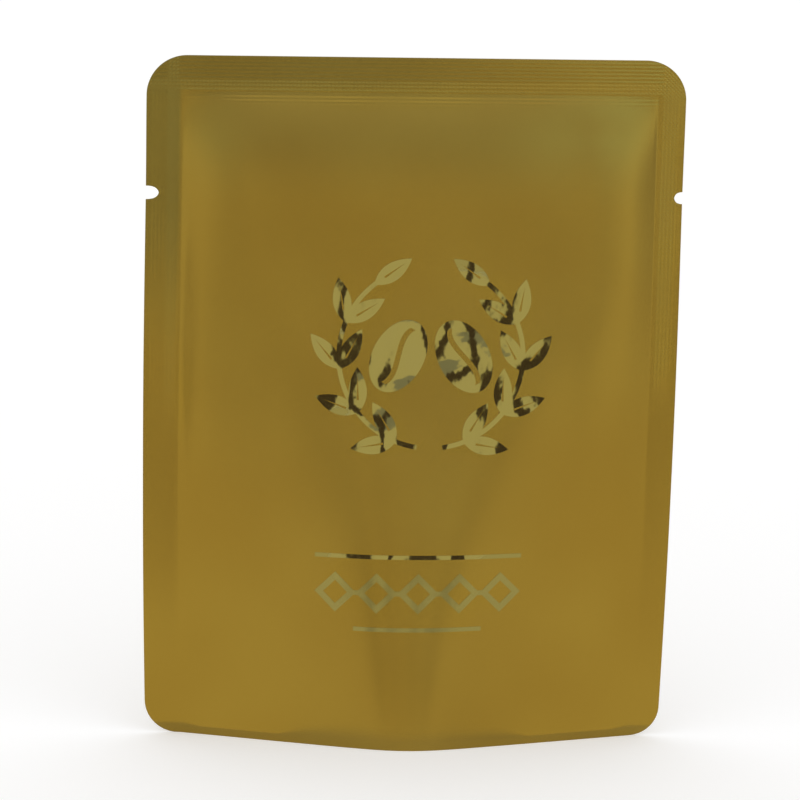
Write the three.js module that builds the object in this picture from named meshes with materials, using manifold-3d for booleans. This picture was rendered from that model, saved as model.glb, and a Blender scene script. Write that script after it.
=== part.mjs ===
import * as THREE from "three";
import { mergeVertices } from "three/addons/utils/BufferGeometryUtils.js";
import Module from "manifold-3d";

// A film sachet for a drip coffee bag, standing on its open mouth.
// Two sheets of metallised film are heat-sealed along the left, right and top edges, so they are one
// piece. The bottom edge is left open and spread apart, which lets the sachet stand on its rim.
// X runs across the sachet, Y from the front sheet to the back sheet, and Z up from the rim.
// Every outline is drawn on the flat sheet (u across, v up) and then laid onto the spread sheets.

// Driving dimensions, mm
const SACHET_WIDTH = 100;
const SACHET_HEIGHT = 130;
const FILM = 0.12;
const SEAL_LEFT = 6.5;
const SEAL_RIGHT = 5.0;
const SEAL_TOP = 6.7;
const RADIUS_TOP_LEFT = 7.5;
const RADIUS_TOP_RIGHT = 7.5;
const RADIUS_BOTTOM_LEFT = 6.2;
const RADIUS_BOTTOM_RIGHT = 5.6;

// Tear notches, measured down from the top edge
const NOTCH_DROP = 26;
const NOTCH_LEFT_DEPTH = 2.4;
const NOTCH_LEFT_HEIGHT = 2.6;
const NOTCH_RIGHT_DEPTH = 1.5;
const NOTCH_RIGHT_HEIGHT = 2.3;

// The spread mouth: how far each sheet stands out at its crease, and how high the spread reaches
const MOUTH_HALF_DEPTH = 11.7;
const SPREAD_HEIGHT = 95;
const SPREAD_SOFTNESS = 0.06;
const CREASE_OFFSET = 0.4;
const CREASE_ROUNDNESS = 0.1;

// The slack between the sheets: a low dome that falls to the side seals over each flank and to the top
// seal over its shoulder, and gives way to the spread below
const SLACK_HALF_GAP = 1.8;
const SLACK_FLANK_LEFT = 16;
const SLACK_FLANK_RIGHT = 13;
const SLACK_SHOULDER = 22;
const SLACK_FADE_LOW = 10;
const SLACK_FADE_HIGH = 50;

// Foil ornament stamped on the front sheet
const FOIL = 0.06;
const FOIL_CLEARANCE = 0.03;
const EMBLEM_CENTRE_U = 3.6;
const EMBLEM_CENTRE_V = 74;
const WREATH_RADIUS = 17.2;
const STEM_WIDTH = 0.9;
const STEM_START_DEGREES = 8;
const STEM_END_DEGREES = 144;
const LEAF_LENGTH = 8.6;
const LEAF_WIDTH = 3.6;
const LEAF_SPLAY_DEGREES = 34;
const LEAF_PAIRS = 4;
const VEIN_WIDTH = 0.42;
const BEAN_LENGTH = 14.5;
const BEAN_WIDTH = 9.6;
const BEAN_SPACING = 12.2;
const BEAN_TILT_DEGREES = 28;
const BEAN_CLEFT_WIDTH = 1.0;
const BEAN_CLEFT_MARGIN = 1.5;
const BAND_CENTRE_U = 2.0;
const BAND_CENTRE_V = 29.5;
const BAND_LENGTH = 39;
const LOZENGE_COUNT = 5;
const LOZENGE_HEIGHT = 7.6;
const LOZENGE_BORDER = 1.15;
const LOZENGE_LINK = 0.9;
const RULE_HEIGHT = 0.8;
const RULE_GAP = 2.6;
const RULE_LOWER_SHARE = 0.62;

// Fineness of the faceted surfaces
const SECTION_STEPS = 240;
const OUTLINE_STEP = 6;
const CURVE_SEGMENTS = 6;
const OVERRUN = 3;

const inLeft = -SACHET_WIDTH / 2 + SEAL_LEFT;
const inRight = SACHET_WIDTH / 2 - SEAL_RIGHT;
const inTop = SACHET_HEIGHT - SEAL_TOP;

const clamp = THREE.MathUtils.clamp;
const radians = THREE.MathUtils.degToRad;

// A ramp that is 0 below t = 0 and t above it, with a rounded corner
function ramp(t, roundness) {
  return (t + Math.hypot(t, roundness)) / 2;
}

// Place across one sheet, -1 at the left seal, 0 at the crease and 1 at the right seal
function acrossShare(u) {
  const reach = u < CREASE_OFFSET ? CREASE_OFFSET - inLeft : inRight - CREASE_OFFSET;
  return clamp((u - CREASE_OFFSET) / reach, -1, 1);
}

// Half the mouth's spread, which closes in a straight line up to SPREAD_HEIGHT. Two flat facets fall away
// to the seals from a strip along the crease, narrow at the mouth and wide where the spread ends.
function spreadHalfGap(u, v) {
  const climb = clamp(v / SPREAD_HEIGHT, 0, 1);
  const height = 1 - Math.max(v, 0) / SPREAD_HEIGHT;
  const depth = ramp(height, SPREAD_SOFTNESS) / ramp(1, SPREAD_SOFTNESS);
  const stripLeft = 0.07 + 0.2 * climb + 0.3 * climb ** 8;
  const stripRight = 0.07 + 0.9 * climb ** 2.2;
  const roundness = CREASE_ROUNDNESS + 0.15 * climb;
  const fall = (s) => ramp(s - stripRight, roundness) + ramp(-s - stripLeft, CREASE_ROUNDNESS);
  const s = acrossShare(u);
  const side = s < 0 ? -1 : 1;
  const share = 1 - (fall(s) - fall(0)) / (fall(side) - fall(0));
  return MOUTH_HALF_DEPTH * depth * clamp(share, 0, 1);
}

// Half the slack gap between the sheets, nothing at the seals and at the mouth
function slackHalfGap(u, v) {
  const settle = (t) => 1 - (1 - clamp(t, 0, 1)) ** 2;
  const sides = settle((u - inLeft) / SLACK_FLANK_LEFT) * settle((inRight - u) / SLACK_FLANK_RIGHT);
  const fade = THREE.MathUtils.smoothstep(v, SLACK_FADE_LOW, SLACK_FADE_HIGH);
  return SLACK_HALF_GAP * sides * settle((inTop - v) / SLACK_SHOULDER) * fade;
}

function halfGap(u, v) {
  if (u <= inLeft || u >= inRight || v >= inTop) return 0;
  return Math.cbrt(spreadHalfGap(u, v) ** 3 + slackHalfGap(u, v) ** 3);
}

// The film doesn't stretch, so the spread draws the side edges in: x of each station across the sheet
const sections = new Map();
function sectionAt(v) {
  const key = Math.max(v, 0);
  if (sections.has(key)) return sections.get(key);
  const xs = [0];
  const du = (inRight - inLeft) / SECTION_STEPS;
  for (let i = 0; i < SECTION_STEPS; i++) {
    const u = inLeft + i * du;
    const slope = (halfGap(u + du, key) - halfGap(u, key)) / du;
    xs.push(xs[i] + du * Math.sqrt(Math.max(1 - slope * slope, 0)));
  }
  const width = xs[SECTION_STEPS] + SEAL_LEFT + SEAL_RIGHT;
  const section = { xs, du, start: SEAL_LEFT - width / 2 };
  sections.set(key, section);
  return section;
}

function across(u, v) {
  const { xs, du, start } = sectionAt(v);
  if (u <= inLeft) return start + (u - inLeft);
  if (u >= inRight) return start + xs[SECTION_STEPS] + (u - inRight);
  const place = (u - inLeft) / du;
  const i = Math.min(Math.floor(place), SECTION_STEPS - 1);
  return start + THREE.MathUtils.lerp(xs[i], xs[i + 1], place - i);
}

const wasm = await Module();
wasm.setup();

function solidOf(geometry) {
  const bare = geometry.clone();
  bare.deleteAttribute("normal");
  bare.deleteAttribute("uv");
  const merged = mergeVertices(bare, 1e-5);
  const index = merged.index.array;
  const kept = [];
  for (let i = 0; i < index.length; i += 3) {
    const [a, b, c] = index.slice(i, i + 3);
    if (a !== b && b !== c && c !== a) kept.push(a, b, c);
  }
  return new wasm.Manifold(
    new wasm.Mesh({
      numProp: 3,
      vertProperties: merged.attributes.position.array,
      triVerts: new Uint32Array(kept),
    }),
  );
}

function geometryOf(solid) {
  const mesh = solid.getMesh();
  const positions = new Float32Array(mesh.numVert * 3);
  for (let i = 0; i < mesh.numVert; i++) {
    positions.set(mesh.vertProperties.subarray(i * mesh.numProp, i * mesh.numProp + 3), i * 3);
  }
  const geometry = new THREE.BufferGeometry();
  geometry.setAttribute("position", new THREE.BufferAttribute(positions, 3));
  geometry.setIndex(new THREE.BufferAttribute(new Uint32Array(mesh.triVerts), 1));
  geometry.computeVertexNormals();
  return geometry;
}

// The closed solid between two sheets over a grid on the flat film, front and back giving each sheet's y
function loft(columns, rows, front, back) {
  const positions = [];
  for (const sheet of [front, back]) {
    for (const v of rows) {
      for (const u of columns) positions.push(across(u, v), sheet(u, v), v);
    }
  }
  const nu = columns.length;
  const nv = rows.length;
  const f = (i, j) => j * nu + i;
  const b = (i, j) => nu * nv + f(i, j);
  const index = [];
  const quad = (p, q, r, s) => index.push(p, q, r, p, r, s);
  for (let j = 0; j < nv - 1; j++) {
    for (let i = 0; i < nu - 1; i++) {
      quad(f(i, j), f(i + 1, j), f(i + 1, j + 1), f(i, j + 1));
      quad(b(i, j), b(i, j + 1), b(i + 1, j + 1), b(i + 1, j));
    }
    quad(f(0, j), f(0, j + 1), b(0, j + 1), b(0, j));
    quad(f(nu - 1, j), b(nu - 1, j), b(nu - 1, j + 1), f(nu - 1, j + 1));
  }
  for (let i = 0; i < nu - 1; i++) {
    quad(f(i, 0), b(i, 0), b(i + 1, 0), f(i + 1, 0));
    quad(f(i, nv - 1), f(i + 1, nv - 1), b(i + 1, nv - 1), b(i, nv - 1));
  }
  const geometry = new THREE.BufferGeometry();
  geometry.setAttribute("position", new THREE.Float32BufferAttribute(positions, 3));
  geometry.setIndex(index);
  return solidOf(geometry);
}

// Points of an outline on the flat sheet, laid onto the spread sheet
function laid(points) {
  const placed = [];
  points.forEach((p, i) => {
    const next = points[(i + 1) % points.length];
    const steps = Math.max(1, Math.ceil(p.distanceTo(next) / OUTLINE_STEP));
    for (let k = 0; k < steps; k++) {
      const q = p.clone().lerp(next, k / steps);
      placed.push(new THREE.Vector2(across(q.x, q.y), q.y));
    }
  });
  return placed;
}

// A prism along Y through both sheets, whose outline is drawn on the flat sheet
function prism(shape) {
  const { shape: outer, holes } = shape.extractPoints(CURVE_SEGMENTS);
  const outline = new THREE.Shape(laid(outer));
  outline.holes = holes.map((hole) => new THREE.Path(laid(hole)));
  const depth = 2 * (MOUTH_HALF_DEPTH + OVERRUN);
  const geometry = new THREE.ExtrudeGeometry(outline, { depth, bevelEnabled: false });
  geometry.rotateX(Math.PI / 2);
  geometry.translate(0, depth / 2, 0);
  return solidOf(geometry);
}

// Grid lines on the flat film, closer where the sheets bend
const columns = [];
for (const s of [-1, -0.93, -0.84, -0.74, -0.62, -0.5, -0.38, -0.29, -0.21, -0.14, -0.07, 0]) {
  columns.push(CREASE_OFFSET + s * (CREASE_OFFSET - inLeft));
}
for (const s of [0.07, 0.14, 0.21, 0.3, 0.4, 0.52, 0.64, 0.75, 0.86, 0.94, 1]) {
  columns.push(CREASE_OFFSET + s * (inRight - CREASE_OFFSET));
}
const wideColumns = [
  -SACHET_WIDTH / 2 - OVERRUN,
  ...columns,
  SACHET_WIDTH / 2 + OVERRUN,
];
const rows = [-OVERRUN];
for (const share of [0, 0.07, 0.15, 0.25, 0.36, 0.48, 0.6, 0.72, 0.83, 0.92, 1]) {
  rows.push(share * SPREAD_HEIGHT);
}
for (const share of [0.2, 0.4, 0.6, 0.78, 0.9, 1]) {
  rows.push(THREE.MathUtils.lerp(SPREAD_HEIGHT, inTop, share));
}
const tallRows = [...rows, SACHET_HEIGHT + OVERRUN];

// The sealed outline with its four rounded corners and two tear notches
function sachetOutline() {
  const left = -SACHET_WIDTH / 2;
  const right = SACHET_WIDTH / 2;
  const top = SACHET_HEIGHT;
  const notch = SACHET_HEIGHT - NOTCH_DROP;
  const shape = new THREE.Shape();
  const bite = (edge, depth, height, way) => {
    const half = (height / 2) * way;
    shape.lineTo(edge, notch - half);
    shape.quadraticCurveTo(edge + depth * 0.9, notch - half, edge + depth, notch);
    shape.quadraticCurveTo(edge + depth * 0.9, notch + half, edge, notch + half);
  };
  const corner = (u, v, radius, quarter) => {
    shape.absarc(u, v, radius, (quarter * Math.PI) / 2, ((quarter + 1) * Math.PI) / 2, false);
  };
  corner(right - RADIUS_BOTTOM_RIGHT, RADIUS_BOTTOM_RIGHT, RADIUS_BOTTOM_RIGHT, 3);
  bite(right, -NOTCH_RIGHT_DEPTH, NOTCH_RIGHT_HEIGHT, 1);
  corner(right - RADIUS_TOP_RIGHT, top - RADIUS_TOP_RIGHT, RADIUS_TOP_RIGHT, 0);
  corner(left + RADIUS_TOP_LEFT, top - RADIUS_TOP_LEFT, RADIUS_TOP_LEFT, 1);
  bite(left, NOTCH_LEFT_DEPTH, NOTCH_LEFT_HEIGHT, -1);
  corner(left + RADIUS_BOTTOM_LEFT, RADIUS_BOTTOM_LEFT, RADIUS_BOTTOM_LEFT, 2);
  shape.closePath();
  return shape;
}

const outerBody = loft(
  wideColumns,
  tallRows,
  (u, v) => -halfGap(u, v) - FILM,
  (u, v) => halfGap(u, v) + FILM,
);
const cavity = loft(
  columns,
  rows,
  (u, v) => -halfGap(u, v),
  (u, v) => halfGap(u, v),
);
const pouch = outerBody.intersect(prism(sachetOutline())).subtract(cavity);

// The thin layer just in front of the front sheet, from which each stamped piece is cut
const foilLayer = loft(
  columns,
  rows,
  (u, v) => -halfGap(u, v) - FILM - FOIL_CLEARANCE - FOIL,
  (u, v) => -halfGap(u, v) - FILM - FOIL_CLEARANCE,
);

// A pointed leaf from its base at the origin along +u, with an open slot for its vein
function leafShape() {
  const shape = new THREE.Shape();
  shape.moveTo(0, 0);
  shape.quadraticCurveTo(LEAF_LENGTH * 0.42, LEAF_WIDTH * 0.95, LEAF_LENGTH, 0);
  shape.quadraticCurveTo(LEAF_LENGTH * 0.42, -LEAF_WIDTH * 0.95, 0, 0);
  const vein = new THREE.Path();
  vein.moveTo(LEAF_LENGTH * 0.28, -VEIN_WIDTH / 2);
  vein.lineTo(LEAF_LENGTH * 0.82, 0);
  vein.lineTo(LEAF_LENGTH * 0.28, VEIN_WIDTH / 2);
  shape.holes.push(vein);
  return shape;
}

// A shape's own curves turned and moved on the flat sheet
function placed(shape, angle, u, v) {
  const origin = new THREE.Vector2();
  const move = (points) =>
    points.map((p) => p.clone().rotateAround(origin, angle).add(new THREE.Vector2(u, v)));
  const { shape: outer, holes } = shape.extractPoints(CURVE_SEGMENTS);
  const moved = new THREE.Shape(move(outer));
  moved.holes = holes.map((hole) => new THREE.Path(move(hole)));
  return moved;
}

// Half of the wreath: an arc of stem from the foot of the ring, with pairs of leaves and one at its tip.
// Side is -1 for the left half and 1 for the right half.
function branch(side) {
  const start = radians(STEM_START_DEGREES);
  const end = radians(STEM_END_DEGREES);
  const ring = (angle, radius) =>
    new THREE.Vector2(
      EMBLEM_CENTRE_U + side * radius * Math.sin(angle),
      EMBLEM_CENTRE_V - radius * Math.cos(angle),
    );
  const stemPoints = [];
  const stemSteps = LEAF_PAIRS * 3;
  for (let i = 0; i <= stemSteps; i++) {
    const angle = THREE.MathUtils.lerp(start, end, i / stemSteps);
    stemPoints.push(ring(angle, WREATH_RADIUS - STEM_WIDTH / 2));
  }
  for (let i = stemSteps; i >= 0; i--) {
    const angle = THREE.MathUtils.lerp(start, end, i / stemSteps);
    stemPoints.push(ring(angle, WREATH_RADIUS + STEM_WIDTH / 2));
  }
  let solid = prism(new THREE.Shape(stemPoints));
  const leaf = leafShape();
  for (let i = 0; i <= LEAF_PAIRS; i++) {
    const angle = THREE.MathUtils.lerp(start, end, (i + 0.55) / (LEAF_PAIRS + 0.55));
    const base = ring(angle - STEM_WIDTH / WREATH_RADIUS, WREATH_RADIUS);
    const heading = side > 0 ? angle : Math.PI - angle;
    const splays = i === LEAF_PAIRS ? [0] : [-1, 1];
    for (const splay of splays) {
      const turn = heading + splay * radians(LEAF_SPLAY_DEGREES);
      solid = solid.add(prism(placed(leaf, turn, base.x, base.y)));
    }
  }
  return solid;
}

// A coffee bean: an oval with an S-shaped cleft cut through it
function bean(side) {
  const shape = new THREE.Shape();
  shape.absellipse(0, 0, BEAN_WIDTH / 2, BEAN_LENGTH / 2, 0, 2 * Math.PI);
  const reach = BEAN_LENGTH / 2 - BEAN_CLEFT_MARGIN;
  const half = BEAN_CLEFT_WIDTH / 2;
  const sway = BEAN_WIDTH * 0.24;
  const cleft = new THREE.Path();
  cleft.moveTo(half, -reach);
  cleft.bezierCurveTo(half + sway, -reach / 2, half - sway, reach / 2, half, reach);
  cleft.lineTo(-half, reach);
  cleft.bezierCurveTo(-half - sway, reach / 2, -half + sway, -reach / 2, -half, -reach);
  shape.holes.push(cleft);
  const u = EMBLEM_CENTRE_U + (side * BEAN_SPACING) / 2;
  return prism(placed(shape, side * radians(BEAN_TILT_DEGREES), u, EMBLEM_CENTRE_V));
}

// A row of open lozenges, tip to tip on a thin link
function lozengeBand() {
  const pitch = BAND_LENGTH / LOZENGE_COUNT;
  const diamond = (Shape, halfWidth, halfHeight) => {
    const outline = new Shape();
    outline.moveTo(-halfWidth, 0);
    outline.lineTo(0, -halfHeight);
    outline.lineTo(halfWidth, 0);
    outline.lineTo(0, halfHeight);
    outline.closePath();
    return outline;
  };
  const slant = Math.hypot(pitch, LOZENGE_HEIGHT);
  const inWidth = pitch / 2 - (LOZENGE_BORDER * slant) / LOZENGE_HEIGHT;
  const inHeight = LOZENGE_HEIGHT / 2 - (LOZENGE_BORDER * slant) / pitch;
  let solid = null;
  for (let i = 0; i < LOZENGE_COUNT; i++) {
    const lozenge = diamond(THREE.Shape, pitch / 2, LOZENGE_HEIGHT / 2);
    lozenge.holes.push(diamond(THREE.Path, inWidth, inHeight));
    const u = BAND_CENTRE_U + (i - (LOZENGE_COUNT - 1) / 2) * pitch;
    const piece = prism(placed(lozenge, 0, u, BAND_CENTRE_V));
    solid = solid ? solid.add(piece) : piece;
    if (i > 0) solid = solid.add(prism(bar(u - pitch / 2, BAND_CENTRE_V, pitch / 4, LOZENGE_LINK)));
  }
  return solid;
}

function bar(u, v, length, height) {
  const shape = new THREE.Shape();
  shape.moveTo(u - length / 2, v - height / 2);
  shape.lineTo(u + length / 2, v - height / 2);
  shape.lineTo(u + length / 2, v + height / 2);
  shape.lineTo(u - length / 2, v + height / 2);
  shape.closePath();
  return shape;
}

const ruleOffset = LOZENGE_HEIGHT / 2 + RULE_GAP + RULE_HEIGHT / 2;
const upperRule = bar(BAND_CENTRE_U, BAND_CENTRE_V + ruleOffset, BAND_LENGTH, RULE_HEIGHT);
const lowerRule = bar(
  BAND_CENTRE_U,
  BAND_CENTRE_V - ruleOffset,
  BAND_LENGTH * RULE_LOWER_SHARE,
  RULE_HEIGHT,
);

const filmMaterial = { color: 0x8c742d, metalness: 0.75, roughness: 0.42 };
const foilMaterial = { color: 0xb5ad6e, metalness: 1, roughness: 0.12 };

const sachet = new THREE.Group();

function addPiece(name, solid, look) {
  const mesh = new THREE.Mesh(geometryOf(solid), new THREE.MeshStandardMaterial(look));
  mesh.name = name;
  sachet.add(mesh);
}

addPiece("pouch", pouch, filmMaterial);
addPiece("foil_branch_left", branch(-1).intersect(foilLayer), foilMaterial);
addPiece("foil_branch_right", branch(1).intersect(foilLayer), foilMaterial);
addPiece("foil_bean_left", bean(-1).intersect(foilLayer), foilMaterial);
addPiece("foil_bean_right", bean(1).intersect(foilLayer), foilMaterial);
addPiece("foil_rule_upper", prism(upperRule).intersect(foilLayer), foilMaterial);
addPiece("foil_lozenge_band", lozengeBand().intersect(foilLayer), foilMaterial);
addPiece("foil_rule_lower", prism(lowerRule).intersect(foilLayer), foilMaterial);

export default sachet;
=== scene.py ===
import math

import bpy
import numpy as np
from mathutils import Matrix, Vector
from mathutils.geometry import delaunay_2d_cdt


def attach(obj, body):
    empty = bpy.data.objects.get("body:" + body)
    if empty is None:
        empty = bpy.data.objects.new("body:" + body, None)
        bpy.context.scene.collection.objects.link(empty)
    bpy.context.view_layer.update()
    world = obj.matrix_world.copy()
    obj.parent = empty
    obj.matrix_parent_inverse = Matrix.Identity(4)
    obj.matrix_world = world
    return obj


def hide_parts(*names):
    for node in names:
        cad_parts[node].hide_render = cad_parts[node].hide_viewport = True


# A film sachet for a drip coffee bag, standing on its open mouth. All shapes are worked out in
# millimetres on the flat sheet (u across, v up) and laid onto the spread sheets, then written in metres.
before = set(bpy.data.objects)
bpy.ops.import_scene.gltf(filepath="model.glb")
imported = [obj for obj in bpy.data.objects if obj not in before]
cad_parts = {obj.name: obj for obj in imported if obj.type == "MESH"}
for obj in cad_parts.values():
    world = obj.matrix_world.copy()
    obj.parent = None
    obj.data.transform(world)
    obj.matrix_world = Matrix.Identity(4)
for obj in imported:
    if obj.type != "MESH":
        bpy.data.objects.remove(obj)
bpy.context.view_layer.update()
MM = 0.001

# Driving sizes of the sachet, mm
WIDTH = 100.0
HEIGHT = 130.0
FILM = 0.12
SEAL_LEFT = 6.5
SEAL_RIGHT = 5.0
SEAL_TOP = 6.7
RADIUS_TOP_LEFT = 7.5
RADIUS_TOP_RIGHT = 7.5
RADIUS_BOTTOM_LEFT = 6.2
RADIUS_BOTTOM_RIGHT = 5.6
NOTCH_DROP = 26.0
NOTCH_LEFT = (2.4, 2.6)
NOTCH_RIGHT = (1.5, 2.3)
MOUTH_HALF_DEPTH = 11.7
SPREAD_HEIGHT = 95.0
SPREAD_SOFTNESS = 0.06
CREASE_OFFSET = 0.4
CREASE_ROUNDNESS = 0.1
SLACK_HALF_GAP = 1.8
SLACK_FLANKS = (16.0, 13.0)
SLACK_SHOULDER = 22.0
SLACK_FADE = (10.0, 50.0)
# The flat strip beside each crease, as a share of the half width: at the mouth, and how it grows with height
STRIP_FOOT = 0.07
STRIP_LEFT_CLIMB = (0.2, 0.3)
STRIP_LEFT_POWER = 8
STRIP_RIGHT_CLIMB = 0.9
STRIP_RIGHT_POWER = 2.2
ROUNDNESS_CLIMB = 0.15

# Embossing of the seals, mm
RIB_PITCH = 0.7
RIB_HEIGHT = 0.045
SECOND_PASS = 9.4
SECOND_PASS_SHARE = 0.35
TOP_RIDGE = 0.035
LEFT_RIDGE = 0.02
LEFT_RIDGE_GAIN = 0.025
RIGHT_GROOVE = -0.04
RIGHT_GROOVE_FOOT = 0.02
RIDGE_WIDTH = 0.3
SIDE_RIDGE_WIDTH = 0.32
BACK_RELIEF = 0.9

# Foil ornament, mm
FOIL_LIFT = 0.012
FOIL_TOP = 0.045
EMBLEM_CENTRE = (3.6, 74.0)
WREATH_RADIUS = 17.2
STEM_WIDTH = 0.9
STEM_DEGREES = (8.0, 144.0)
LEAF_LENGTH = 8.6
LEAF_WIDTH = 3.6
LEAF_SPLAY_DEGREES = 34.0
LEAF_PAIRS = 4
VEIN_WIDTH = 0.42
BEAN_LENGTH = 14.5
BEAN_WIDTH = 9.6
BEAN_SPACING = 12.2
BEAN_TILT_DEGREES = 28.0
BEAN_CLEFT_WIDTH = 1.0
BEAN_CLEFT_MARGIN = 1.5
BAND_CENTRE = (2.0, 29.5)
BAND_LENGTH = 39.0
LOZENGE_COUNT = 5
LOZENGE_HEIGHT = 7.6
LOZENGE_BORDER = 1.15
LOZENGE_LINK = 0.9
RULE_HEIGHT = 0.8
RULE_GAP = 2.6
RULE_LOWER_SHARE = 0.62

IN_LEFT = -WIDTH / 2 + SEAL_LEFT
IN_RIGHT = WIDTH / 2 - SEAL_RIGHT
IN_TOP = HEIGHT - SEAL_TOP
NOTCH = HEIGHT - NOTCH_DROP
SECTION_STEPS = 480

# Spacing of the film's mesh, mm, and its columns in the two side seals
ROW_STEP = 1.0
NOTCH_ROW_STEP = 0.17
SECOND_PASS_ROW_STEP = 0.13
SEAL_ROW_STEP = 0.12
TOP_EDGE = 0.4
COLUMN_STEP = 1.15
COLUMN_STEP_NEAR_SEAL = 0.28
NEAR_SEAL = 2.0
LEFT_SEAL_COLUMNS = 50
RIGHT_SEAL_COLUMNS = 39
OUTLINE_STEP = 0.45
FOIL_GRID = 0.8
SHARP_DEGREES = 35
# One unit of the flat map is this long on the sheet, mm
FLAT_UNIT = 100.0


def smoothstep(t, low, high):
    s = np.clip((t - low) / (high - low), 0, 1)
    return s * s * (3 - 2 * s)


def between(t, rise_from, rise_to, fall_from, fall_to):
    return smoothstep(t, rise_from, rise_to) * (1 - smoothstep(t, fall_from, fall_to))


def hump(t, centre, width):
    return np.exp(-(((t - centre) / width) ** 2))


def ramp(t, roundness):
    return (t + np.hypot(t, roundness)) / 2


def across_share(u):
    left = (u - CREASE_OFFSET) / (CREASE_OFFSET - IN_LEFT)
    right = (u - CREASE_OFFSET) / (IN_RIGHT - CREASE_OFFSET)
    return np.clip(np.where(u < CREASE_OFFSET, left, right), -1, 1)


def spread_half_gap(u, v):
    climb = np.clip(v / SPREAD_HEIGHT, 0, 1)
    strip_left = STRIP_FOOT + STRIP_LEFT_CLIMB[0] * climb + STRIP_LEFT_CLIMB[1] * climb**STRIP_LEFT_POWER
    strip_right = STRIP_FOOT + STRIP_RIGHT_CLIMB * climb**STRIP_RIGHT_POWER
    roundness = CREASE_ROUNDNESS + ROUNDNESS_CLIMB * climb

    def fall(s):
        return ramp(s - strip_right, roundness) + ramp(-s - strip_left, CREASE_ROUNDNESS)

    s = across_share(u)
    side = np.where(s < 0, -1.0, 1.0)
    share = 1 - (fall(s) - fall(0 * s)) / (fall(side) - fall(0 * s))
    depth = ramp(1 - np.maximum(v, 0) / SPREAD_HEIGHT, SPREAD_SOFTNESS) / ramp(1, SPREAD_SOFTNESS)
    return MOUTH_HALF_DEPTH * depth * np.clip(share, 0, 1)


def settle(t):
    return 1 - (1 - np.clip(t, 0, 1)) ** 2


def slack_half_gap(u, v):
    sides = settle((u - IN_LEFT) / SLACK_FLANKS[0]) * settle((IN_RIGHT - u) / SLACK_FLANKS[1])
    return SLACK_HALF_GAP * sides * settle((IN_TOP - v) / SLACK_SHOULDER) * smoothstep(v, *SLACK_FADE)


def half_gap(u, v):
    inside = (u > IN_LEFT) & (u < IN_RIGHT) & (v < IN_TOP)
    return np.where(inside, np.cbrt(spread_half_gap(u, v) ** 3 + slack_half_gap(u, v) ** 3), 0.0)


SECTIONS = {}


def section(v):
    key = round(max(float(v), 0.0), 4)
    if key not in SECTIONS:
        us = np.linspace(IN_LEFT, IN_RIGHT, SECTION_STEPS + 1)
        gap = half_gap(us, np.full_like(us, key))
        du = us[1] - us[0]
        steps = du * np.sqrt(np.clip(1 - (np.diff(gap) / du) ** 2, 0, 1))
        xs = np.concatenate([[0.0], np.cumsum(steps)])
        start = SEAL_LEFT - (xs[-1] + SEAL_LEFT + SEAL_RIGHT) / 2
        SECTIONS[key] = (us, xs + start)
    return SECTIONS[key]


def across(u, v):
    """x of each point (u, v) of the flat sheet: the film doesn't stretch, so the spread draws it in."""
    u = np.asarray(u, float)
    v = np.broadcast_to(np.asarray(v, float), u.shape)
    x = np.empty_like(u)
    for value in np.unique(v):
        at = v == value
        us, xs = section(value)
        uu = u[at]
        inner = np.interp(uu, us, xs)
        inner = np.where(uu < IN_LEFT, xs[0] + (uu - IN_LEFT), inner)
        x[at] = np.where(uu > IN_RIGHT, xs[-1] + (uu - IN_RIGHT), inner)
    return x


def patchy(a, b):
    """A slow, fixed variation between 0 and 1."""
    first = np.sin(0.21 * a + 1.3 * np.sin(0.13 * b))
    second = np.sin(0.37 * b + 0.9 * np.sin(0.17 * a))
    return 0.5 + 0.25 * first + 0.25 * second


def ribs(distance):
    return (0.5 + 0.5 * np.cos(2 * math.pi * distance / RIB_PITCH)) * RIB_HEIGHT


def relief(u, v):
    """Height of the embossed ribs and the seal edges over the plain film, mm."""
    from_top = HEIGHT - v
    from_left = u + WIDTH / 2
    from_right = WIDTH / 2 - u

    band_top = between(from_top, 0.3, 0.8, SEAL_TOP - 0.9, SEAL_TOP - 0.5)
    second = between(from_top, SEAL_TOP, SEAL_TOP + 0.4, SECOND_PASS - 0.8, SECOND_PASS)
    inner = between(u, IN_LEFT - 3, IN_LEFT + 2, IN_RIGHT - 2, IN_RIGHT + 3)
    pressed = band_top * (0.55 + 0.45 * patchy(u, v)) + SECOND_PASS_SHARE * second * patchy(u * 1.7, v)
    height = ribs(from_top) * pressed
    height = height * (0.4 + 0.6 * inner)
    height = height + TOP_RIDGE * hump(from_top, SEAL_TOP - 0.25, RIDGE_WIDTH) * inner

    below_top = smoothstep(from_top, SEAL_TOP - 1.0, SEAL_TOP + 1.0)
    side_press = 0.45 + 0.55 * patchy(v, u * 2)
    low_left = smoothstep(v, 45.0, 80.0)
    band_left = between(from_left, 0.5, 1.1, SEAL_LEFT - 1.2, SEAL_LEFT - 0.7)
    height = height + ribs(from_left) * band_left * below_top * low_left * side_press
    ridge = LEFT_RIDGE + LEFT_RIDGE_GAIN * smoothstep(v, 70.0, 85.0)
    height = height + ridge * hump(from_left, SEAL_LEFT - 0.1, SIDE_RIDGE_WIDTH) * below_top

    low_right = smoothstep(v, 60.0, 80.0)
    band_right = between(from_right, 0.5, 1.0, SEAL_RIGHT - 1.0, SEAL_RIGHT - 0.6)
    height = height + ribs(from_right) * band_right * below_top * low_right * side_press
    groove = RIGHT_GROOVE * smoothstep(v, 60.0, 80.0) + RIGHT_GROOVE_FOOT * (1 - smoothstep(v, 40.0, 60.0))
    height = height + groove * hump(from_right, SEAL_RIGHT + 0.1, SIDE_RIDGE_WIDTH) * below_top
    return height


# Broad, shallow swells of the film: height, centre u, centre v, reach across, reach up, all mm
SWELLS = ((-0.7, -33.0, 74.0, 10.0, 26.0), (-0.4, 32.0, 95.0, 9.0, 30.0))


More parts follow.
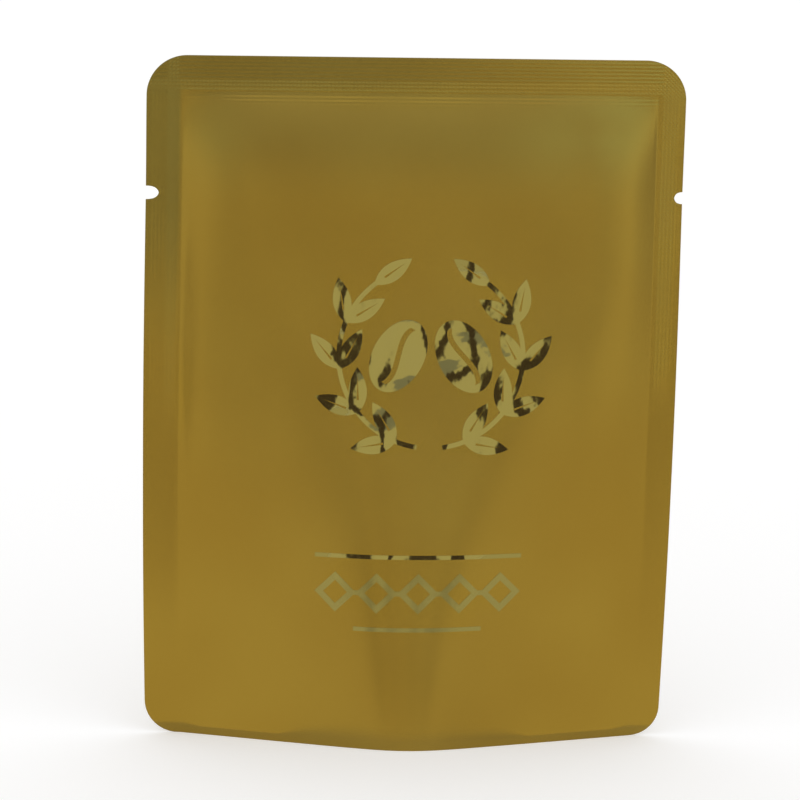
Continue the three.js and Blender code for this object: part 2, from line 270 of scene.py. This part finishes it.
def swell(u, v):
    mask = between(u, IN_LEFT, IN_LEFT + 3, IN_RIGHT - 8, IN_RIGHT)
    mask = mask * (1 - smoothstep(v, IN_TOP - 8, IN_TOP)) * smoothstep(v, 0.0, 6.0)
    height = 0.0
    for size, cu, cv, ru, rv in SWELLS:
        height = height + size * hump(u, cu, ru) * hump(v, cv, rv)
    return height * mask


def front_y(u, v):
    return -(half_gap(u, v) + FILM + relief(u, v) + swell(u, v))


def back_y(u, v):
    return half_gap(u, v) + FILM + swell(-u, v) - BACK_RELIEF * relief(u, v)


def corner_cut(rise, radius):
    """How far a rounded corner draws the side in at this height above or below the corner's end."""
    t = np.clip(rise, 0, radius)
    return radius - np.sqrt(np.maximum(radius**2 - (radius - t) ** 2, 0))


def notch_cut(v, depth, height):
    t = np.sqrt(np.clip(1 - np.abs(v - NOTCH) * 2 / height, 0, 1))
    return depth * (1.8 * t - 0.8 * t * t)


def side_limits(v):
    left = -WIDTH / 2 + corner_cut(v, RADIUS_BOTTOM_LEFT) + corner_cut(HEIGHT - v, RADIUS_TOP_LEFT)
    right = WIDTH / 2 - corner_cut(v, RADIUS_BOTTOM_RIGHT) - corner_cut(HEIGHT - v, RADIUS_TOP_RIGHT)
    left = left + notch_cut(v, *NOTCH_LEFT)
    right = right - notch_cut(v, *NOTCH_RIGHT)
    return left, right


def spaced(low, high, step):
    count = max(1, round((high - low) / step))
    return list(np.linspace(low, high, count + 1)[:-1])


def sheet_rows():
    eased = [RADIUS_BOTTOM_LEFT * (1 - math.cos(k / 14 * math.pi / 2)) for k in range(14)]
    rows = eased + spaced(RADIUS_BOTTOM_LEFT, NOTCH - 2, ROW_STEP)
    for half in (NOTCH_LEFT[1] / 2, NOTCH_RIGHT[1] / 2):
        rows += [NOTCH - half, NOTCH - half + 0.03, NOTCH + half - 0.03, NOTCH + half]
    rows += spaced(NOTCH - 2, NOTCH + 2, NOTCH_ROW_STEP)
    rows += spaced(NOTCH + 2, HEIGHT - SECOND_PASS - 0.5, ROW_STEP)
    rows += spaced(HEIGHT - SECOND_PASS - 0.5, IN_TOP, SECOND_PASS_ROW_STEP)
    rows += spaced(IN_TOP, HEIGHT - TOP_EDGE, SEAL_ROW_STEP)
    rows += [HEIGHT - TOP_EDGE * (1 - math.sin(k / 6 * math.pi / 2)) for k in range(7)]
    rows = sorted(rows)
    return np.array([r for i, r in enumerate(rows) if i == 0 or r - rows[i - 1] > 0.01])


def face_columns():
    columns = spaced(IN_LEFT, IN_LEFT + NEAR_SEAL, COLUMN_STEP_NEAR_SEAL)
    columns += spaced(IN_LEFT + NEAR_SEAL, IN_RIGHT - NEAR_SEAL, COLUMN_STEP)
    columns += spaced(IN_RIGHT - NEAR_SEAL, IN_RIGHT, COLUMN_STEP_NEAR_SEAL) + [IN_RIGHT]
    return np.array(columns)


def film_mesh():
    rows = sheet_rows()
    middle = face_columns()
    left_share = np.linspace(0, 1, LEFT_SEAL_COLUMNS + 1)[:-1]
    right_share = np.linspace(0, 1, RIGHT_SEAL_COLUMNS + 1)[1:]
    left, right = side_limits(rows)
    face_left = np.maximum(IN_LEFT, left + 0.05)
    face_right = np.minimum(IN_RIGHT, right - 0.05)
    middle_share = (middle - IN_LEFT) / (IN_RIGHT - IN_LEFT)
    n_left, n_mid = len(left_share), len(middle)
    u = np.empty((len(rows), n_left + n_mid + len(right_share)))
    u[:, :n_left] = left[:, None] + left_share * (face_left - left)[:, None]
    u[:, n_left : n_left + n_mid] = face_left[:, None] + middle_share * (face_right - face_left)[:, None]
    u[:, n_left + n_mid :] = face_right[:, None] + right_share * (right - face_right)[:, None]
    v = np.repeat(rows[:, None], u.shape[1], axis=1)
    x = across(u, v)
    nv, nu = u.shape

    points, stations, faces, inner_faces = [], [], [], []

    def add(xs, ys, zs, us):
        first = len(points)
        points.extend(zip(xs.ravel(), ys.ravel(), zs.ravel()))
        stations.extend(zip(us.ravel(), zs.ravel()))
        return first + np.arange(xs.size).reshape(xs.shape)

    front = add(x, front_y(u, v), v, u)
    back = add(x, back_y(u, v), v, u)

    # the inner faces of the two sheets, which meet along the seals
    low_rows = [r for r in range(nv) if rows[r] < IN_TOP - 0.2]
    inner_rows = low_rows[::3]
    iu = u[inner_rows, n_left : n_left + n_mid]
    iv = np.repeat(rows[inner_rows][:, None], n_mid, axis=1)
    ix = across(iu, iv)
    open_share = np.ones(n_mid)
    open_share[[0, -1]] = 0
    fi = add(ix, (front_y(iu, iv) + FILM + relief(iu, iv)) * open_share, iv, iu)
    bi = add(ix, (back_y(iu, iv) - FILM + BACK_RELIEF * relief(iu, iv)) * open_share, iv, iu)
    top_u = middle
    top_v = np.full_like(middle, IN_TOP)
    ti = add(across(top_u, top_v), 0 * middle, top_v, top_u)
    fi = np.vstack([fi, ti])
    bi = np.vstack([bi, ti])
    bi[:, 0] = fi[:, 0]
    bi[:, -1] = fi[:, -1]

    def grid(index, flip, out):
        a, b, c, d = index[:-1, :-1], index[:-1, 1:], index[1:, 1:], index[1:, :-1]
        quads = np.stack([a, b, c, d] if not flip else [a, d, c, b], axis=-1).reshape(-1, 4)
        out.extend(map(tuple, quads.tolist()))

    def strip(p, q, out):
        for i in range(len(p) - 1):
            out.append((int(p[i]), int(p[i + 1]), int(q[i + 1]), int(q[i])))

    grid(front, False, faces)
    grid(back, True, faces)
    strip(back[:, 0], front[:, 0], faces)
    strip(front[:, -1], back[:, -1], faces)
    strip(front[-1, :], back[-1, :], faces)
    lo, hi = n_left, n_left + n_mid
    strip(back[0, : lo + 1], front[0, : lo + 1], faces)
    strip(back[0, hi - 1 :], front[0, hi - 1 :], faces)
    strip(fi[0], front[0, lo:hi], faces)
    strip(back[0, lo:hi], bi[0], faces)
    faces.append((int(front[0, lo]), int(fi[0, 0]), int(back[0, lo])))
    faces.append((int(back[0, hi - 1]), int(fi[0, -1]), int(front[0, hi - 1])))
    grid(fi, True, inner_faces)
    grid(bi, False, inner_faces)
    return points, stations, faces, inner_faces


def new_mesh(name, points, faces, stations, materials, face_material=None):
    used = sorted({i for f in faces for i in f})
    renumber = {old: new for new, old in enumerate(used)}
    mesh = bpy.data.meshes.new(name)
    places = [[c * MM for c in points[i]] for i in used]
    mesh.from_pydata(places, [], [[renumber[i] for i in f] for f in faces])
    layer = mesh.uv_layers.new(name="flat")
    loops = np.empty(len(mesh.loops), dtype=np.int32)
    mesh.loops.foreach_get("vertex_index", loops)
    flat = np.array([stations[i] for i in used]) / FLAT_UNIT
    layer.data.foreach_set("uv", flat[loops].ravel())
    for material in materials:
        mesh.materials.append(material)
    if face_material is not None:
        mesh.polygons.foreach_set("material_index", np.array(face_material, dtype=np.int32))
    mesh.shade_smooth()
    mesh.set_sharp_from_angle(angle=math.radians(SHARP_DEGREES))
    mesh.validate()
    mesh.update()
    obj = bpy.data.objects.new(name, mesh)
    bpy.context.scene.collection.objects.link(obj)
    return obj


def quadratic(p0, p1, p2, count):
    t = np.linspace(0, 1, count + 1)[:, None]
    p0, p1, p2 = map(np.array, (p0, p1, p2))
    return ((1 - t) ** 2 * p0 + 2 * t * (1 - t) * p1 + t * t * p2)[:-1]


def cubic(p0, p1, p2, p3, count):
    t = np.linspace(0, 1, count + 1)[:, None]
    p0, p1, p2, p3 = map(np.array, (p0, p1, p2, p3))
    return ((1 - t) ** 3 * p0 + 3 * t * (1 - t) ** 2 * p1 + 3 * t * t * (1 - t) * p2 + t**3 * p3)[:-1]


def turned(outline, angle, centre):
    c, s = math.cos(angle), math.sin(angle)
    return outline @ np.array([[c, s], [-s, c]]) + np.array(centre)


def dense(outline):
    out = []
    for p, q in zip(outline, np.roll(outline, -1, axis=0)):
        count = max(1, math.ceil(np.linalg.norm(q - p) / OUTLINE_STEP))
        out.extend(p + (q - p) * k / count for k in range(count))
    return np.array(out)


def inside(outline, p):
    a, b = outline, np.roll(outline, -1, axis=0)
    x, y = p[:, 0][:, None], p[:, 1][:, None]
    cross = (a[:, 1] > y) != (b[:, 1] > y)
    rise = np.where(b[:, 1] == a[:, 1], 1e-12, b[:, 1] - a[:, 1])
    hit = x < (b[:, 0] - a[:, 0]) * (y - a[:, 1]) / rise + a[:, 0]
    return (np.sum(cross & hit, axis=1) % 2).astype(bool)


def covered(shapes, p):
    result = np.zeros(len(p), bool)
    for outer, holes in shapes:
        within = inside(outer, p)
        for hole in holes:
            within &= ~inside(hole, p)
        result |= within
    return result


def foil_mesh(name, shapes, material):
    """A thin closed layer that follows the front sheet, in the outline of several joined shapes."""
    points, edges = [], []
    for outer, holes in shapes:
        for loop in (outer, *holes):
            loop = dense(loop)
            first = len(points)
            points.extend(loop.tolist())
            edges.extend((first + k, first + (k + 1) % len(loop)) for k in range(len(loop)))
    low, high = np.min(points, axis=0), np.max(points, axis=0)
    gu, gv = np.meshgrid(*(np.arange(low[k], high[k], FOIL_GRID) for k in range(2)))
    filling = np.stack([gu.ravel(), gv.ravel()], axis=1)
    points.extend(filling[covered(shapes, filling)].tolist())
    verts, _, tris, *_ = delaunay_2d_cdt([Vector(p) for p in points], edges, [], 0, 1e-5)
    flat = np.array([tuple(p) for p in verts])
    tris = np.array(tris)
    kept = tris[covered(shapes, flat[tris].mean(axis=1))]
    x = across(flat[:, 0], flat[:, 1])
    y = front_y(flat[:, 0], flat[:, 1])
    count = len(flat)
    solid = [(a, y0 - FOIL_TOP, b) for a, y0, b in zip(x, y, flat[:, 1])]
    solid += [(a, y0 - FOIL_LIFT, b) for a, y0, b in zip(x, y, flat[:, 1])]
    faces = [tuple(map(int, t)) for t in kept]
    faces += [(int(c) + count, int(b) + count, int(a) + count) for a, b, c in kept]
    sides = {(int(t[k]), int(t[(k + 1) % 3])) for t in kept for k in range(3)}
    faces += [(a, a + count, b + count, b) for a, b in sorted(sides) if (b, a) not in sides]
    return new_mesh(name, solid, faces, np.vstack([flat, flat]), [material])


def leaf_shape():
    outer = np.vstack([
        quadratic((0, 0), (LEAF_LENGTH * 0.42, LEAF_WIDTH * 0.95), (LEAF_LENGTH, 0), 20),
        quadratic((LEAF_LENGTH, 0), (LEAF_LENGTH * 0.42, -LEAF_WIDTH * 0.95), (0, 0), 20),
    ])
    vein = np.array([
        (LEAF_LENGTH * 0.28, -VEIN_WIDTH / 2),
        (LEAF_LENGTH * 0.82, 0),
        (LEAF_LENGTH * 0.28, VEIN_WIDTH / 2),
    ])
    return outer, [vein]


def placed(shape, angle, centre):
    outer, holes = shape
    return turned(outer, angle, centre), [turned(hole, angle, centre) for hole in holes]


def branch(side):
    start, end = map(math.radians, STEM_DEGREES)

    def ring(angle, radius):
        return (
            EMBLEM_CENTRE[0] + side * radius * math.sin(angle),
            EMBLEM_CENTRE[1] - radius * math.cos(angle),
        )

    angles = np.linspace(start, end, 49)
    stem = [ring(a, WREATH_RADIUS - STEM_WIDTH / 2) for a in angles]
    stem += [ring(a, WREATH_RADIUS + STEM_WIDTH / 2) for a in angles[::-1]]
    shapes = [(np.array(stem), [])]
    for i in range(LEAF_PAIRS + 1):
        angle = start + (end - start) * (i + 0.55) / (LEAF_PAIRS + 0.55)
        base = ring(angle - STEM_WIDTH / WREATH_RADIUS, WREATH_RADIUS)
        heading = angle if side > 0 else math.pi - angle
        for splay in (0,) if i == LEAF_PAIRS else (-1, 1):
            shapes.append(placed(leaf_shape(), heading + splay * math.radians(LEAF_SPLAY_DEGREES), base))
    return shapes


def bean(side):
    t = np.linspace(0, 2 * math.pi, 73)[:-1]
    outer = np.stack([BEAN_WIDTH / 2 * np.cos(t), BEAN_LENGTH / 2 * np.sin(t)], axis=1)
    reach = BEAN_LENGTH / 2 - BEAN_CLEFT_MARGIN
    half = BEAN_CLEFT_WIDTH / 2
    sway = BEAN_WIDTH * 0.24
    cleft = np.vstack([
        cubic((half, -reach), (half + sway, -reach / 2), (half - sway, reach / 2), (half, reach), 24),
        [(half, reach)],
        cubic((-half, reach), (-half - sway, reach / 2), (-half + sway, -reach / 2), (-half, -reach), 24),
        [(-half, -reach)],
    ])
    centre = (EMBLEM_CENTRE[0] + side * BEAN_SPACING / 2, EMBLEM_CENTRE[1])
    return [placed((outer, [cleft]), side * math.radians(BEAN_TILT_DEGREES), centre)]


def bar(centre, length, height):
    x, y = centre
    corners = [(-1, -1), (1, -1), (1, 1), (-1, 1)]
    return np.array([(x + a * length / 2, y + b * height / 2) for a, b in corners]), []


def lozenge_band():
    pitch = BAND_LENGTH / LOZENGE_COUNT
    slant = math.hypot(pitch, LOZENGE_HEIGHT)
    in_width = pitch / 2 - LOZENGE_BORDER * slant / LOZENGE_HEIGHT
    in_height = LOZENGE_HEIGHT / 2 - LOZENGE_BORDER * slant / pitch

    def diamond(half_width, half_height):
        return np.array([(-half_width, 0), (0, -half_height), (half_width, 0), (0, half_height)])

    shapes = []
    for i in range(LOZENGE_COUNT):
        u = BAND_CENTRE[0] + (i - (LOZENGE_COUNT - 1) / 2) * pitch
        lozenge = (diamond(pitch / 2, LOZENGE_HEIGHT / 2), [diamond(in_width, in_height)])
        shapes.append(placed(lozenge, 0, (u, BAND_CENTRE[1])))
        if i > 0:
            shapes.append(bar((u - pitch / 2, BAND_CENTRE[1]), pitch / 4, LOZENGE_LINK))
    return shapes


def shader(name):
    material = bpy.data.materials.new(name)
    material.use_nodes = True
    nodes = material.node_tree.nodes
    return material, nodes, material.node_tree.links, nodes["Principled BSDF"]


def math_node(nodes, links, kind, a, b=None):
    node = nodes.new("ShaderNodeMath")
    node.operation = kind
    for socket, value in zip(node.inputs, (a, b)):
        if value is None:
            continue
        if isinstance(value, (int, float)):
            socket.default_value = value
        else:
            links.new(value, socket)
    return node.outputs[0]


def ranged(nodes, links, value, low, high):
    """0 at low and 1 at high, smooth between them and clamped."""
    node = nodes.new("ShaderNodeMapRange")
    node.interpolation_type = "SMOOTHSTEP"
    links.new(value, node.inputs["Value"])
    node.inputs["From Min"].default_value = low
    node.inputs["From Max"].default_value = high
    return node.outputs["Result"]


def noise_bump(nodes, links, vector, scale, detail, strength, distance, normal=None):
    """The normal of a noise pattern, over another normal where one is given."""
    noise = nodes.new("ShaderNodeTexNoise")
    noise.inputs["Scale"].default_value = scale
    noise.inputs["Detail"].default_value = detail
    if vector is not None:
        links.new(vector, noise.inputs["Vector"])
    bump = nodes.new("ShaderNodeBump")
    bump.inputs["Strength"].default_value = strength
    bump.inputs["Distance"].default_value = distance
    links.new(noise.outputs["Fac"], bump.inputs["Height"])
    if normal is not None:
        links.new(normal, bump.inputs["Normal"])
    return bump.outputs["Normal"]


FILM_ROUGHNESS = 0.26
# Place on the ramp and colour of the film's deeper and its more olive gold
FILM_TONES = ((0.35, (0.26, 0.17, 0.03, 1)), (0.65, (0.28, 0.19, 0.035, 1)))
LINING_COLOUR = (0.52, 0.52, 0.5, 1)
FOIL_COLOUR = (0.25, 0.22, 0.08, 1)
# Painted shade on the seal bands: the greyer tint they are multiplied by, and the share of it that the top
# seal gets
SEAL_SHADE_TINT = (0.72, 0.78, 0.92, 1)
TOP_SEAL_SHADE = 0.85
# Radians of the knurl's wave per unit of the flat map
KNURL_RATE = 2 * math.pi / (RIB_PITCH / FLAT_UNIT)
KNURL_EDGE = 0.2
KNURL_FADE = 15
# Direction each knurled band runs in, its two edges, and where along it the dots set in, mm
KNURLED_BANDS = (
    ("up", IN_LEFT - 2.6, IN_LEFT - 0.5, 55.0),
    ("up", IN_RIGHT + 0.8, IN_RIGHT + 3.6, 60.0),
    ("across", IN_TOP + 0.3, IN_TOP + 2.2, -60.0),
)


def film_material():
    material, nodes, links, bsdf = shader("film_matte_gold")
    bsdf.inputs["Metallic"].default_value = 1.0
    bsdf.inputs["Roughness"].default_value = FILM_ROUGHNESS
    uv = nodes.new("ShaderNodeUVMap")
    uv.uv_map = "flat"
    # slow colour drift over the sheet, deeper gold to olive gold
    drift = nodes.new("ShaderNodeTexNoise")
    drift.inputs["Scale"].default_value = 3.2
    drift.inputs["Detail"].default_value = 1.5
    links.new(uv.outputs[0], drift.inputs["Vector"])
    tone = nodes.new("ShaderNodeValToRGB")
    for element, (position, colour) in zip(tone.color_ramp.elements, FILM_TONES):
        element.position = position
        element.color = colour
    links.new(drift.outputs["Fac"], tone.inputs["Fac"])
    # painted shade: the seal bands at the top and the upper left are painted darker and greyer, standing in
    # for the shade and duller reflection among their embossed ribs
    flat = nodes.new("ShaderNodeSeparateXYZ")
    links.new(uv.outputs[0], flat.inputs[0])
    left = ranged(nodes, links, flat.outputs["X"], (IN_LEFT + 0.4) / FLAT_UNIT, (IN_LEFT - 0.6) / FLAT_UNIT)
    left = math_node(nodes, links, "MULTIPLY", left, ranged(nodes, links, flat.outputs["Y"], 0.7, 1.05))
    top = ranged(nodes, links, flat.outputs["Y"], (IN_TOP - 1.5) / FLAT_UNIT, (IN_TOP + 1.5) / FLAT_UNIT)
    top = math_node(nodes, links, "MULTIPLY", top, ranged(nodes, links, flat.outputs["X"], 0.35, -0.2))
    top = math_node(nodes, links, "MULTIPLY", top, TOP_SEAL_SHADE)
    seal_shade = math_node(nodes, links, "MAXIMUM", left, top)
    painted_seal_shade = nodes.new("ShaderNodeMix")
    painted_seal_shade.data_type = "RGBA"
    painted_seal_shade.blend_type = "MULTIPLY"
    colour_in = [socket for socket in painted_seal_shade.inputs if socket.type == "RGBA"]
    colour_out = [socket for socket in painted_seal_shade.outputs if socket.type == "RGBA"]
    links.new(seal_shade, painted_seal_shade.inputs[0])
    links.new(tone.outputs["Color"], colour_in[0])
    colour_in[1].default_value = SEAL_SHADE_TINT
    links.new(colour_out[0], bsdf.inputs["Base Color"])
    grain = noise_bump(nodes, links, uv.outputs[0], 420.0, 2.0, 0.12, 0.00005)
    # knurled dots that the sealing jaws leave beside the inner edges of the seals
    waves = [
        math_node(nodes, links, "SINE", math_node(nodes, links, "MULTIPLY", flat.outputs[axis], KNURL_RATE))
        for axis in ("X", "Y")
    ]
    dots = math_node(nodes, links, "MULTIPLY", *waves)
    bands = None
    for axis, low, high, start in KNURLED_BANDS:
        along, cross = ("Y", "X") if axis == "up" else ("X", "Y")
        limits = (
            (cross, low - KNURL_EDGE, low + KNURL_EDGE),
            (cross, high + KNURL_EDGE, high - KNURL_EDGE),
            (along, start, start + KNURL_FADE),
        )
        band, end, fade = (
            ranged(nodes, links, flat.outputs[side], a / FLAT_UNIT, b / FLAT_UNIT) for side, a, b in limits
        )
        band = math_node(nodes, links, "MULTIPLY", math_node(nodes, links, "MULTIPLY", band, end), fade)
        bands = band if bands is None else math_node(nodes, links, "MAXIMUM", bands, band)
    knurl = nodes.new("ShaderNodeBump")
    knurl.inputs["Strength"].default_value = 0.8
    knurl.inputs["Distance"].default_value = 0.00003
    links.new(math_node(nodes, links, "MULTIPLY", dots, bands), knurl.inputs["Height"])
    links.new(grain, knurl.inputs["Normal"])
    links.new(knurl.outputs["Normal"], bsdf.inputs["Normal"])
    return material


def lining_material():
    material, nodes, links, bsdf = shader("film_inner_silver")
    bsdf.inputs["Base Color"].default_value = LINING_COLOUR
    bsdf.inputs["Metallic"].default_value = 0.9
    bsdf.inputs["Roughness"].default_value = 0.35
    links.new(noise_bump(nodes, links, None, 900.0, 2.0, 0.1, 0.00005), bsdf.inputs["Normal"])
    return material


def foil_material(name, roughness, wave_height):
    material, nodes, links, bsdf = shader(name)
    bsdf.inputs["Base Color"].default_value = FOIL_COLOUR
    bsdf.inputs["Metallic"].default_value = 1.0
    bsdf.inputs["Roughness"].default_value = roughness
    uv = nodes.new("ShaderNodeUVMap")
    uv.uv_map = "flat"
    # the thin foil follows the film in slow waves, with a few finer crinkles
    waved = noise_bump(nodes, links, uv.outputs[0], 12.0, 0.0, 1.0, wave_height)
    crinkled = noise_bump(nodes, links, uv.outputs[0], 55.0, 1.0, 0.35, 0.00004, waved)
    links.new(crinkled, bsdf.inputs["Normal"])
    return material


film_gold = film_material()
film_lining = lining_material()
foil_bright = foil_material("foil_bright_gold", 0.05, 0.00048)
foil_satin = foil_material("foil_satin_gold", 0.2, 0.0003)


film_points, film_stations, film_faces, lining_faces = film_mesh()
pouch = new_mesh(
    "pouch_film",
    film_points,
    film_faces + lining_faces,
    film_stations,
    [film_gold, film_lining],
    [0] * len(film_faces) + [1] * len(lining_faces),
)
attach(pouch, "root")
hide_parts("pouch")

rule_offset = LOZENGE_HEIGHT / 2 + RULE_GAP + RULE_HEIGHT / 2
u_band, v_band = BAND_CENTRE
ornament = {
    "foil_branch_left": branch(-1),
    "foil_branch_right": branch(1),
    "foil_bean_left": bean(-1),
    "foil_bean_right": bean(1),
    "foil_rule_upper": [bar((u_band, v_band + rule_offset), BAND_LENGTH, RULE_HEIGHT)],
    "foil_lozenge_band": lozenge_band(),
    "foil_rule_lower": [bar((u_band, v_band - rule_offset), BAND_LENGTH * RULE_LOWER_SHARE, RULE_HEIGHT)],
}
SATIN_NODES = ("foil_lozenge_band", "foil_rule_lower")
for node, shapes in ornament.items():
    finish = foil_satin if node in SATIN_NODES else foil_bright
    piece = foil_mesh("print_" + node[5:], shapes, finish)
    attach(piece, "root")
    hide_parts(node)


CAMERA_AZIMUTH = -3.534
CAMERA_ELEVATION = 14.018
CAMERA_ROLL = 1.4
CAMERA_DISTANCE = 1.5
SENSOR_WIDTH = 36.0
FRAME_PIXELS = 800
PIXELS_PER_RADIAN = 8035.0
AIM_PIXEL = (409.53, 399.11)
AIM = Vector((0, 0, HEIGHT / 2 * MM))

scene = bpy.context.scene
scene.view_settings.view_transform = "Standard"


def direction(azimuth, elevation):
    """Unit vector from the object outwards: azimuth 0 is -Y, and positive is to the right."""
    a, e = math.radians(azimuth), math.radians(elevation)
    return Vector((math.sin(a) * math.cos(e), -math.cos(a) * math.cos(e), math.sin(e)))


def make_camera():
    back = direction(CAMERA_AZIMUTH, CAMERA_ELEVATION)
    right = (-back).cross(Vector((0, 0, 1))).normalized()
    up = right.cross(-back).normalized()
    roll = math.radians(CAMERA_ROLL)
    right_rolled = right * math.cos(roll) + up * math.sin(roll)
    up_rolled = up * math.cos(roll) - right * math.sin(roll)
    scale = CAMERA_DISTANCE / PIXELS_PER_RADIAN
    off_right = (FRAME_PIXELS / 2 - AIM_PIXEL[0]) * scale
    off_up = (AIM_PIXEL[1] - FRAME_PIXELS / 2) * scale
    place = AIM + back * CAMERA_DISTANCE
    target = AIM + right_rolled * off_right + up_rolled * off_up
    look = (target - place).normalized()
    axis_x = (right_rolled - look * right_rolled.dot(look)).normalized()
    axis_y = axis_x.cross(look)
    data = bpy.data.cameras.new("camera")
    data.sensor_width = SENSOR_WIDTH
    data.lens = PIXELS_PER_RADIAN / FRAME_PIXELS * SENSOR_WIDTH
    data.clip_start = 0.05
    data.clip_end = 50
    camera = bpy.data.objects.new("camera", data)
    scene.collection.objects.link(camera)
    rotation = Matrix((axis_x, axis_y, -look)).transposed().to_4x4()
    camera.matrix_world = Matrix.Translation(place) @ rotation
    scene.camera = camera


make_camera()

FLOOR_HALF_SIZE = 4.0
FLOOR_COLOUR = (0.9, 0.9, 0.9, 1)
FLOOR_GLOW = 0.25
WORLD_LEVEL = 0.85
CARD_REACH = 0.4
CARD_FOOT = 0.002
ARC_POINTS = 7

# Tints of the soft cards
WARM = (1.0, 0.92, 0.65)
PALE = (1.0, 1.0, 1.0)
COOL = (0.7, 1.0, 1.3)

# Soft cards around the front, which only glossy rays see:
# azimuth, width, lowest and highest elevation in degrees, strength and tint
SOFT_CARDS = {
    "card_low": (0.0, 58.0, -9.0, 1.0, 1.3, WARM),
    "card_high_left": (-20.0, 18.0, 1.0, 14.0, 1.4, COOL),
    "card_high_middle": (0.0, 22.0, 1.0, 14.0, 0.65, PALE),
    "card_high_right": (20.0, 18.0, 1.0, 14.0, 2.0, COOL),
    "card_side_left": (-43.0, 28.0, -9.0, 16.0, 0.6, PALE),
    "card_side_right": (43.0, 28.0, -9.0, 16.0, 0.6, PALE),
    "card_overhead": (0.0, 80.0, 20.0, 45.0, 1.5, PALE),
}
# One more, lying on the floor before the sachet: azimuth, width, strength and tint
FLOOR_CARD = (0.0, 176.0, 1.15, WARM)
FLOOR_CARD_NEAR = 0.025
FLOOR_CARD_FAR = 0.39
FLOOR_CARD_LIFT = 0.0015
# Narrow dark flags that the bright foil mirrors as dark streaks: azimuth and width
FLAGS = ((-14.0, 3.5), (-3.0, 2.6), (7.0, 2.6), (17.0, 3.5))
FLAG_COLOUR = (0.15, 0.11, 0.09)
FLAG_REACH = 0.3
FLAG_FOOT = -40.0
FLAG_TOP = 8.0
FLAG_NEAR = 0.08


def seen_directly(nodes, links):
    """1 where the camera, a reflection or a transparent piece shows a surface, 0 where it only lights."""
    path = nodes.new("ShaderNodeLightPath")
    seen = math_node(nodes, links, "MAXIMUM", path.outputs["Is Camera Ray"], path.outputs["Is Glossy Ray"])
    return math_node(nodes, links, "MAXIMUM", seen, path.outputs["Is Transmission Ray"])


def make_floor():
    h = FLOOR_HALF_SIZE
    mesh = bpy.data.meshes.new("floor")
    mesh.from_pydata([(-h, -h, 0), (h, -h, 0), (h, h, 0), (-h, h, 0)], [], [(0, 1, 2, 3)])
    material, nodes, links, bsdf = shader("floor_white")
    bsdf.inputs["Base Color"].default_value = FLOOR_COLOUR
    bsdf.inputs["Roughness"].default_value = 0.9
    bsdf.inputs["Specular IOR Level"].default_value = 0.0
    bsdf.inputs["Emission Color"].default_value = (1, 1, 1, 1)
    glow = math_node(nodes, links, "MULTIPLY", seen_directly(nodes, links), FLOOR_GLOW)
    links.new(glow, bsdf.inputs["Emission Strength"])
    mesh.materials.append(material)
    floor = bpy.data.objects.new("floor", mesh)
    scene.collection.objects.link(floor)


def make_card(name, points, colour, strength=1.0):
    """A strip of quads that only glossy rays see, so it shows in the film and lights nothing else."""
    quads = [(k, k + 2, k + 3, k + 1) for k in range(0, len(points) - 2, 2)]
    mesh = bpy.data.meshes.new(name)
    mesh.from_pydata(points, [], quads)
    material = bpy.data.materials.new(name)
    material.use_nodes = True
    nodes, links = material.node_tree.nodes, material.node_tree.links
    nodes.remove(nodes["Principled BSDF"])
    glow = nodes.new("ShaderNodeEmission")
    glow.inputs["Color"].default_value = (*colour, 1)
    glow.inputs["Strength"].default_value = strength
    links.new(glow.outputs[0], nodes["Material Output"].inputs["Surface"])
    mesh.materials.append(material)
    card = bpy.data.objects.new(name, mesh)
    scene.collection.objects.link(card)
    card.visible_camera = False
    card.visible_shadow = False
    card.visible_diffuse = False
    card.visible_transmission = False


def standing(azimuth, width, low, high, reach):
    """Points of an upright arc around the sachet, from one elevation to another, clear of the floor."""
    points = []
    for a in np.linspace(azimuth - width / 2, azimuth + width / 2, ARC_POINTS):
        foot = direction(a, 0) * reach
        for e in (low, high):
            points.append((foot.x, foot.y, max(CARD_FOOT, AIM.z + reach * math.tan(math.radians(e)))))
    return points


def lying(azimuth, width, near, far, lift):
    """Points of a flat arc on the floor before the sachet."""
    points = []
    for a in np.linspace(azimuth - width / 2, azimuth + width / 2, ARC_POINTS):
        for reach in (near, far):
            foot = direction(a, 0) * reach
            points.append((foot.x, foot.y, lift))
    return points


def make_cards():
    for name, (azimuth, width, low, high, strength, tint) in SOFT_CARDS.items():
        make_card(name, standing(azimuth, width, low, high, CARD_REACH), tint, strength)
    azimuth, width, strength, tint = FLOOR_CARD
    points = lying(azimuth, width, FLOOR_CARD_NEAR, FLOOR_CARD_FAR, FLOOR_CARD_LIFT)
    make_card("card_floor", points, tint, strength)
    for k, (azimuth, width) in enumerate(FLAGS):
        make_card(f"flag_{k}_upright", standing(azimuth, width, FLAG_FOOT, FLAG_TOP, FLAG_REACH), FLAG_COLOUR)
        make_card(f"flag_{k}_lying", lying(azimuth, width, FLAG_NEAR, FLAG_REACH, CARD_FOOT), FLAG_COLOUR)


def make_world():
    world = bpy.data.worlds.new("studio")
    world.use_nodes = True
    nodes, links = world.node_tree.nodes, world.node_tree.links
    background = nodes["Background"]
    background.inputs["Color"].default_value = (1, 1, 1, 1)
    level = math_node(nodes, links, "MAXIMUM", seen_directly(nodes, links), WORLD_LEVEL)
    links.new(level, background.inputs["Strength"])
    scene.world = world


make_floor()
make_cards()
make_world()
